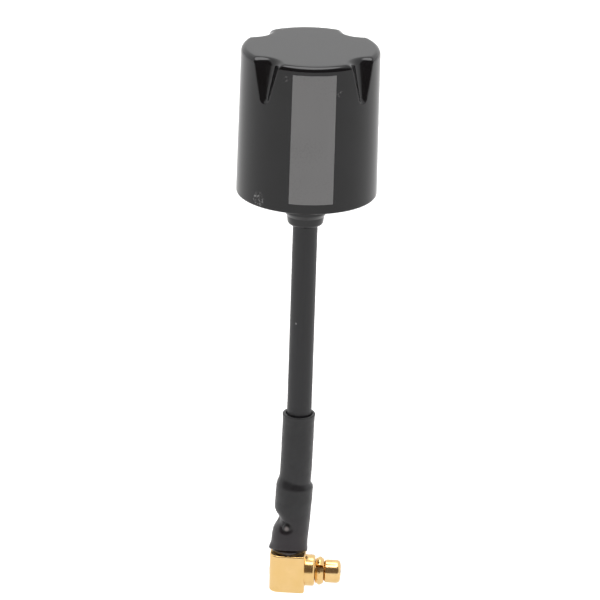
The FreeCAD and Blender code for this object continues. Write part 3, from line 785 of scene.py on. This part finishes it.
def spring_ring():
    """Split ring with a ridged roof in the plug's groove."""
    left = FLANGE_FRONT + 0.08
    right = left + 0.9
    inner_r = 1.2
    eave_r = 1.36
    ridge_r = 1.6
    outline = softened([
        (inner_r, left, 0.03),
        (eave_r, left, 0.05),
        (ridge_r, left + 0.37, 0.06),
        (ridge_r, left + 0.53, 0.06),
        (eave_r, right, 0.05),
        (inner_r, right, 0.03),
    ], 5)
    gap = 0.42 / RING_MIDDLE_R
    bm = turned(outline, True, 120, math.tau - gap, level=True)
    slot = Matrix.Rotation(math.radians(51) + gap / 2, 3, "X")
    bmesh.ops.rotate(bm, cent=(0, 0, 0), matrix=slot, verts=bm.verts)
    piece("spring_ring", bm, GOLD, ["snap_ring"])


def insulator_and_pin():
    """White insulator set back in the barrel, and the gold pin in its middle."""
    pin_r = 0.2
    tail_r = 0.3
    shoulder = PLUG_X + 0.35
    tail = PLUG_X - 0.55
    tip = BARREL_MOUTH - 0.35
    face = BARREL_MOUTH - 1.25
    outline = softened([
        (pin_r, shoulder, 0),
        (BORE_R, shoulder, 0),
        (BORE_R, face, 0.04),
        (pin_r, face, 0.03),
    ])
    bm = turned(outline, True, 64, level=True)
    piece("barrel_insulator", bm, FLUOROPOLYMER, ["plug_insulator"])
    outline = softened([
        (0, tail, 0),
        (tail_r, tail, 0.03),
        (tail_r, shoulder, 0.02),
        (pin_r, shoulder, 0),
        (pin_r, tip, 0.16),
        (0, tip, 0),
    ])
    bm = turned(outline, False, 48, level=True)
    piece("contact_pin", bm, GOLD, ["plug_pin"])


cap_shell()
label_film()
cap_base()
stem_jacket()
sleeve()
foot_bead()
plug_block()
access_cover()
plug_front()
spring_ring()
insulator_and_pin()

# The nodes inside keep their solids and take these finishes
CARRIED_OVER = {
    "coax_core": SILVER,
    "coax_dielectric": FLUOROPOLYMER,
    "coax_braid": BRAID,
    "crimp_ferrule": BRASS,
    "contact_joint": SOLDER,
    "neck_joint": SOLDER,
    "lower_board": LAMINATE,
    "top_board": LAMINATE,
    "lower_tracks": COPPER,
    "top_tracks": COPPER,
    "slant_wires": SILVER,
    "wire_joints": SOLDER,
    "braid_joint": SOLDER,
    "core_joint": SOLDER,
}
for node_name, node_material in CARRIED_OVER.items():
    node_mesh = bpy.data.objects[node_name].data
    node_mesh.materials.clear()
    node_mesh.materials.append(node_material)


# Studio

def pale_floor():
    """Plain pale floor well below the plug. To the camera it is white, and it keeps the shadow."""
    half_width = 4.0
    level = -0.02
    bm = bmesh.new()
    bmesh.ops.create_grid(bm, x_segments=1, y_segments=1, size=half_width)
    bmesh.ops.translate(bm, vec=(0, 0, level), verts=bm.verts)
    mesh = bpy.data.meshes.new("pale_floor")
    bm.to_mesh(mesh)
    bm.free()
    material, tree, surface, _ = new_material("pale floor", {"Roughness": 0.9, "Specular IOR Level": 0.0})
    seen = add(tree, "ShaderNodeLightPath").outputs["Is Camera Ray"]
    tone = add(tree, "ShaderNodeMix", {"data_type": "RGBA", 6: linear("#dcdcdc"), 7: linear("#ffffff")},
               {0: seen})
    tree.links.new(tone.outputs[2], surface.inputs["Base Color"])
    mesh.materials.append(material)
    obj = bpy.data.objects.new("pale_floor", mesh)
    bpy.context.collection.objects.link(obj)


def studio_world():
    """White all round and brighter overhead, with a dark wall on the camera's side.

    The limits are parts of the unit direction that is looked in: how far up it points, and how far back.
    """
    world = bpy.data.worlds.new("studio")
    world.use_nodes = True
    tree = world.node_tree
    tree.nodes.clear()
    direction = add(tree, "ShaderNodeTexCoord").outputs["Generated"]
    split = add(tree, "ShaderNodeSeparateXYZ", links={0: direction})
    up = split.outputs["Z"]
    above_foot = smooth_rise(tree, up, -0.14, -0.08)
    below_head = smooth_rise(tree, up, 0.93, 0.87)
    on_front = smooth_rise(tree, split.outputs["Y"], -0.05, -0.3)
    wall = times(tree, times(tree, above_foot, below_head), on_front)
    tone = add(tree, "ShaderNodeMix", {"data_type": "RGBA", 6: linear("#ffffff"), 7: linear("#685f5c")},
               {0: wall})
    overhead = smooth_rise(tree, up, 0.87, 0.93, 3.7)
    total = add(tree, "ShaderNodeMath", {"operation": "ADD", 0: 1.0}, {1: overhead})
    lit = add(tree, "ShaderNodeBackground", links={"Color": tone.outputs[2], "Strength": total.outputs[0]})
    seen = add(tree, "ShaderNodeBackground", {"Color": linear("#ffffff"), "Strength": 1.0})
    path = add(tree, "ShaderNodeLightPath")
    mixed = add(tree, "ShaderNodeMixShader", links={0: path.outputs["Is Camera Ray"], 1: lit.outputs[0],
                                                    2: seen.outputs[0]})
    add(tree, "ShaderNodeOutputWorld", links={"Surface": mixed.outputs[0]})
    bpy.context.scene.world = world


def fill_lamp():
    """Large soft lamp from the camera's side that lifts matt surfaces only."""
    lamp = bpy.data.lights.new("fill", "AREA")
    lamp.size = 0.9
    lamp.energy = 3.0
    obj = bpy.data.objects.new("fill", lamp)
    obj.location = (-0.1, -0.9, 0.5)
    obj.rotation_euler = (Vector((-0.004, 0, 0.03)) - obj.location).to_track_quat("-Z", "Y").to_euler()
    obj.visible_glossy = False
    bpy.context.collection.objects.link(obj)


def camera():
    """Long lens that looks down at the stem by about 20 degrees, from a little to the plug's side."""
    elevation = math.radians(20.5)
    azimuth = math.radians(2.9)
    distance = 0.5755
    target = Vector((-4.2, 0, 32.18)) * MM
    way = Vector((math.sin(azimuth) * math.cos(elevation), -math.cos(azimuth) * math.cos(elevation),
                  math.sin(elevation)))
    data = bpy.data.cameras.new("camera")
    data.lens = 314.4
    data.sensor_width = 36
    data.clip_start = 0.05
    obj = bpy.data.objects.new("camera", data)
    obj.location = target + way * distance
    turn = (-way).to_track_quat("-Z", "Y").to_matrix() @ Matrix.Rotation(math.radians(1.83), 3, "Z")
    obj.rotation_euler = turn.to_euler()
    bpy.context.collection.objects.link(obj)
    bpy.context.scene.camera = obj


pale_floor()
studio_world()
fill_lamp()
camera()
bpy.context.scene.view_settings.view_transform = "Standard"
